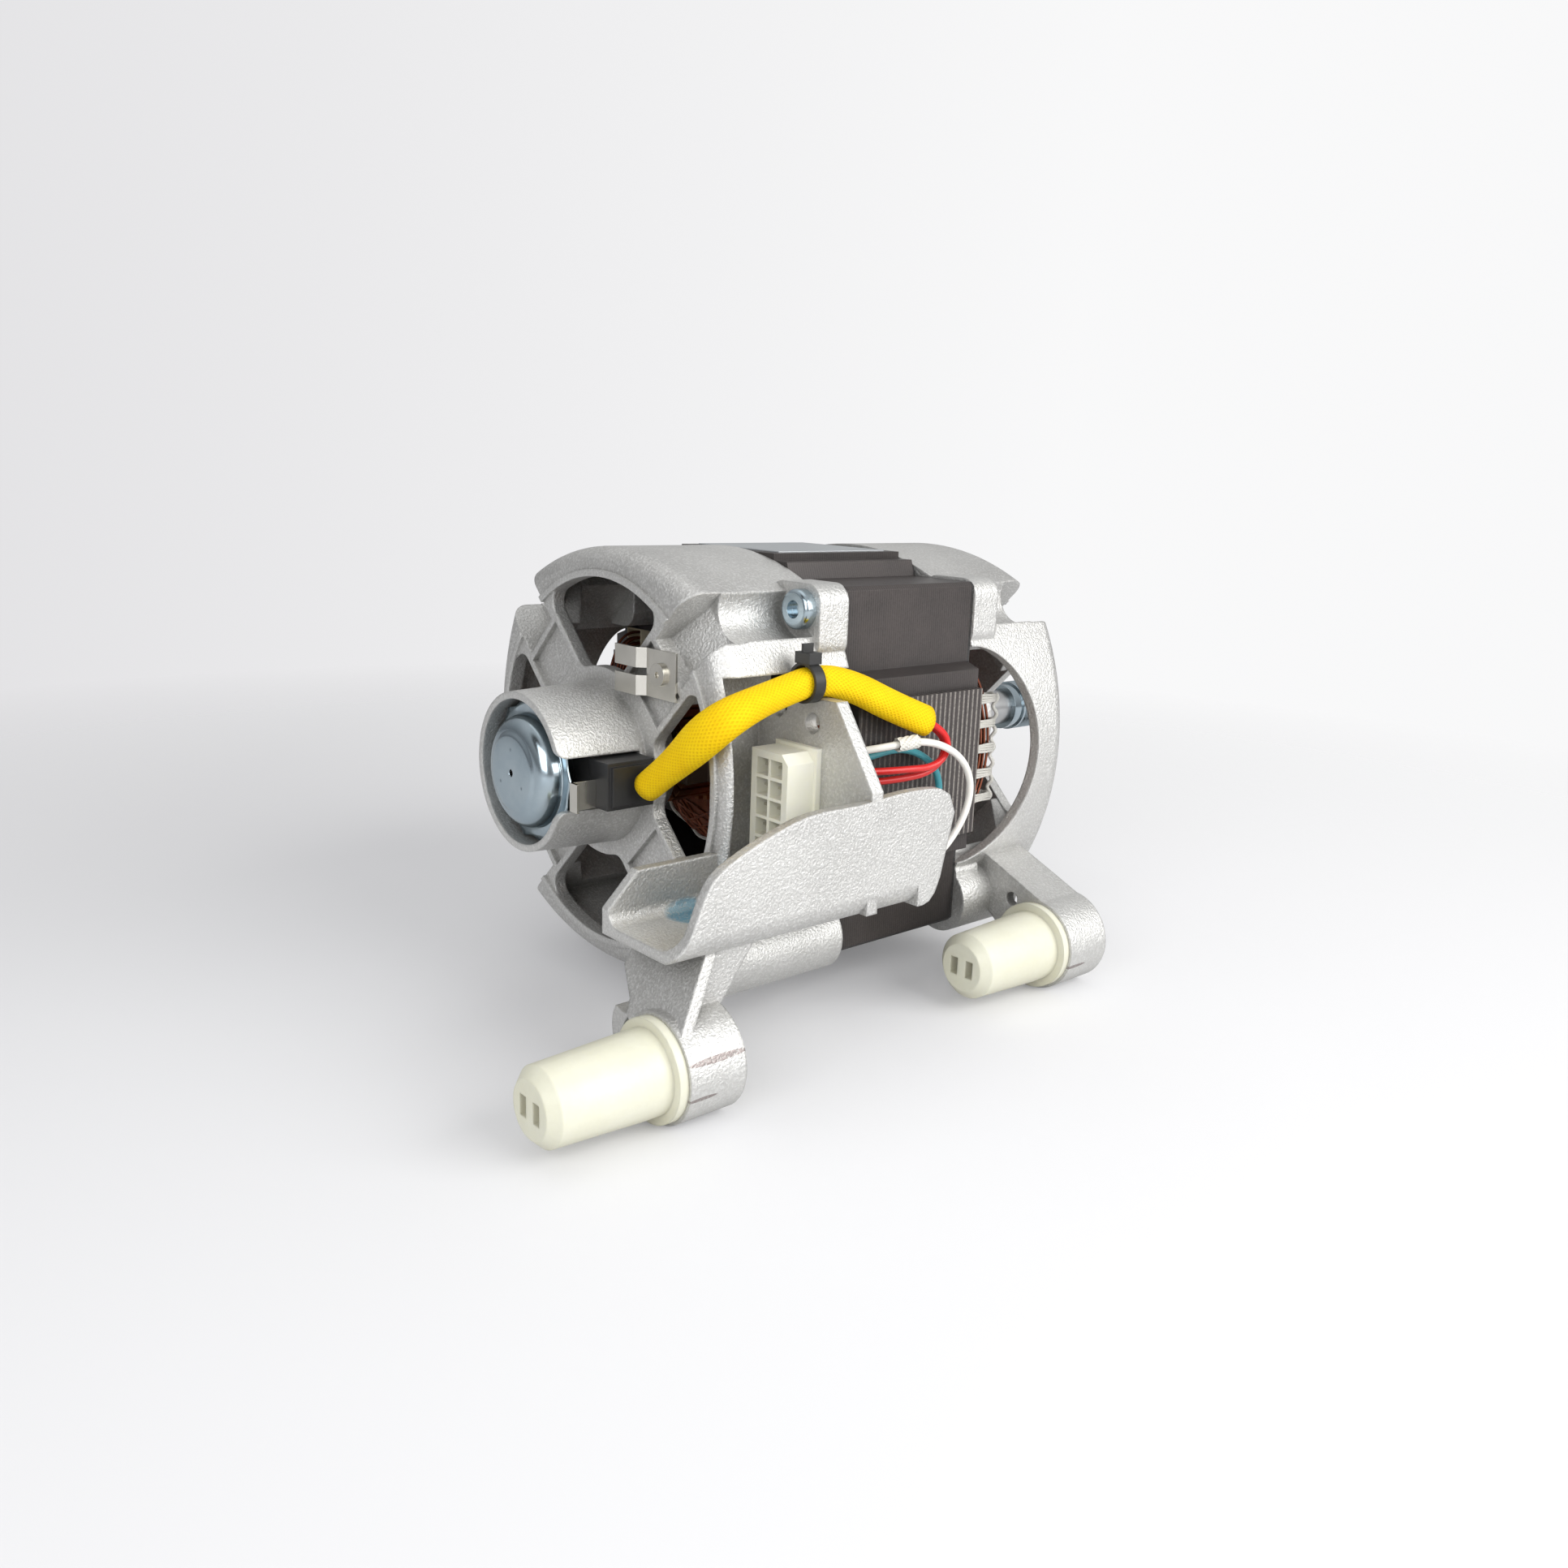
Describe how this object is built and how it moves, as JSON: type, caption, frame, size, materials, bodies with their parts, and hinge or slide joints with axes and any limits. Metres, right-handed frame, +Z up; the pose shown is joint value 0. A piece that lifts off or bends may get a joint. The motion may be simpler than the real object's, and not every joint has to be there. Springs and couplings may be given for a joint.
{
  "type": "washing machine motor",
  "caption": "Commutator motor with two cast shields on a laminated stack, grooved pulley, speed sensor cup, plug housing, cable tray and nylon foot pegs.",
  "frame": {"origin": "on the shaft axis in the pulley's end face", "axes": "+X along the shaft towards the pulley, -Y towards the plug side, +Z up as the motor stands"},
  "size_m": [0.3075, 0.1738, 0.151],
  "materials": {
    "cast_aluminium": "matte sand-cast",
    "laminations": "varnished",
    "black_varnish": "satin",
    "bare_plate": "satin",
    "slot_paper": "matte",
    "copper_wire": "enamelled",
    "white_cord": "matte",
    "shaft_steel": "ground",
    "zinc_steel": "zinc plated",
    "nickel_steel": "satin",
    "bearing_steel": "polished",
    "seal_rubber": "matte",
    "copper_bars": "turned",
    "moulded_resin": "satin",
    "black_plastic": "satin",
    "ivory_plastic": "satin",
    "nylon": "satin",
    "carbon": "matte",
    "magnet": "matte",
    "yellow_weave": "woven",
    "red_lead": "gloss",
    "white_lead": "gloss",
    "blue_lead": "gloss"
  },
  "bodies": {
    "stator": {"rear_shield": "cast_aluminium", "front_shield": "cast_aluminium", "stator_core": "laminations", "front_gasket": "black_varnish", "top_plate": "bare_plate", "slot_liners": "slot_paper", "field_coil_near": "copper_wire", "field_coil_far": "copper_wire", "coil_lacing": "white_cord", "front_bearing_outer": "bearing_steel", "front_bearing_seals": "seal_rubber", "rear_bearing_outer": "bearing_steel", "rear_bearing_seals": "seal_rubber", "spring_washer": "bearing_steel", "brush_holder_near": "moulded_resin", "brush_holder_far": "moulded_resin", "brush_spring_near": "shaft_steel", "brush_spring_far": "shaft_steel", "sensor_ring": "black_plastic", "sensor_plug": "black_plastic", "sensor_clip": "nickel_steel", "sensor_cap": "zinc_steel", "earth_terminal": "nickel_steel", "earth_rivet": "nickel_steel", "plug_housing": "ivory_plastic", "plug_blades": "nickel_steel", "yellow_sleeve": "yellow_weave", "lead_red": "red_lead", "lead_white": "white_lead", "lead_blue": "blue_lead", "woven_sleeve": "white_cord", "cable_tie": "black_plastic", "shield_screws": "zinc_steel", "rear_peg": "nylon", "front_peg": "nylon"},
    "rotor": {"shaft": "shaft_steel", "armature_core": "laminations", "armature_winding": "copper_wire", "commutator_hub": "moulded_resin", "commutator_bars": "copper_bars", "front_bearing_inner": "bearing_steel", "rear_bearing_inner": "bearing_steel", "sensor_magnet": "magnet", "pulley": "zinc_steel"},
    "front_cage": {"front_bearing_balls": "bearing_steel"},
    "rear_cage": {"rear_bearing_balls": "bearing_steel"},
    "brush_near": {"carbon_brush_near": "carbon"},
    "brush_far": {"carbon_brush_far": "carbon"}
  },
  "joints": [
    {"name": "rotor_spin", "type": "hinge", "parent": "stator", "child": "rotor", "pos_m": [-0.15, 0, 0], "axis": [1, 0, 0], "continuous": true},
    {"name": "front_cage_spin", "type": "hinge", "parent": "stator", "child": "front_cage", "pos_m": [-0.15, 0, 0], "axis": [1, 0, 0], "continuous": true},
    {"name": "rear_cage_spin", "type": "hinge", "parent": "stator", "child": "rear_cage", "pos_m": [-0.15, 0, 0], "axis": [1, 0, 0], "continuous": true},
    {"name": "brush_near_slide", "type": "slide", "parent": "stator", "child": "brush_near", "axis": [0, -1, 0], "range_m": [0, 0.005], "stiffness_N_per_m": 150, "springref_m": -0.01, "deforming": ["brush_spring_near"]},
    {"name": "brush_far_slide", "type": "slide", "parent": "stator", "child": "brush_far", "axis": [0, 1, 0], "range_m": [0, 0.005], "stiffness_N_per_m": 150, "springref_m": -0.01, "deforming": ["brush_spring_far"]}
  ],
  "couplings": [
    {"joint": "front_cage_spin", "follows": "rotor_spin", "ratio": 0.388},
    {"joint": "rear_cage_spin", "follows": "rotor_spin", "ratio": 0.3727}
  ]
}
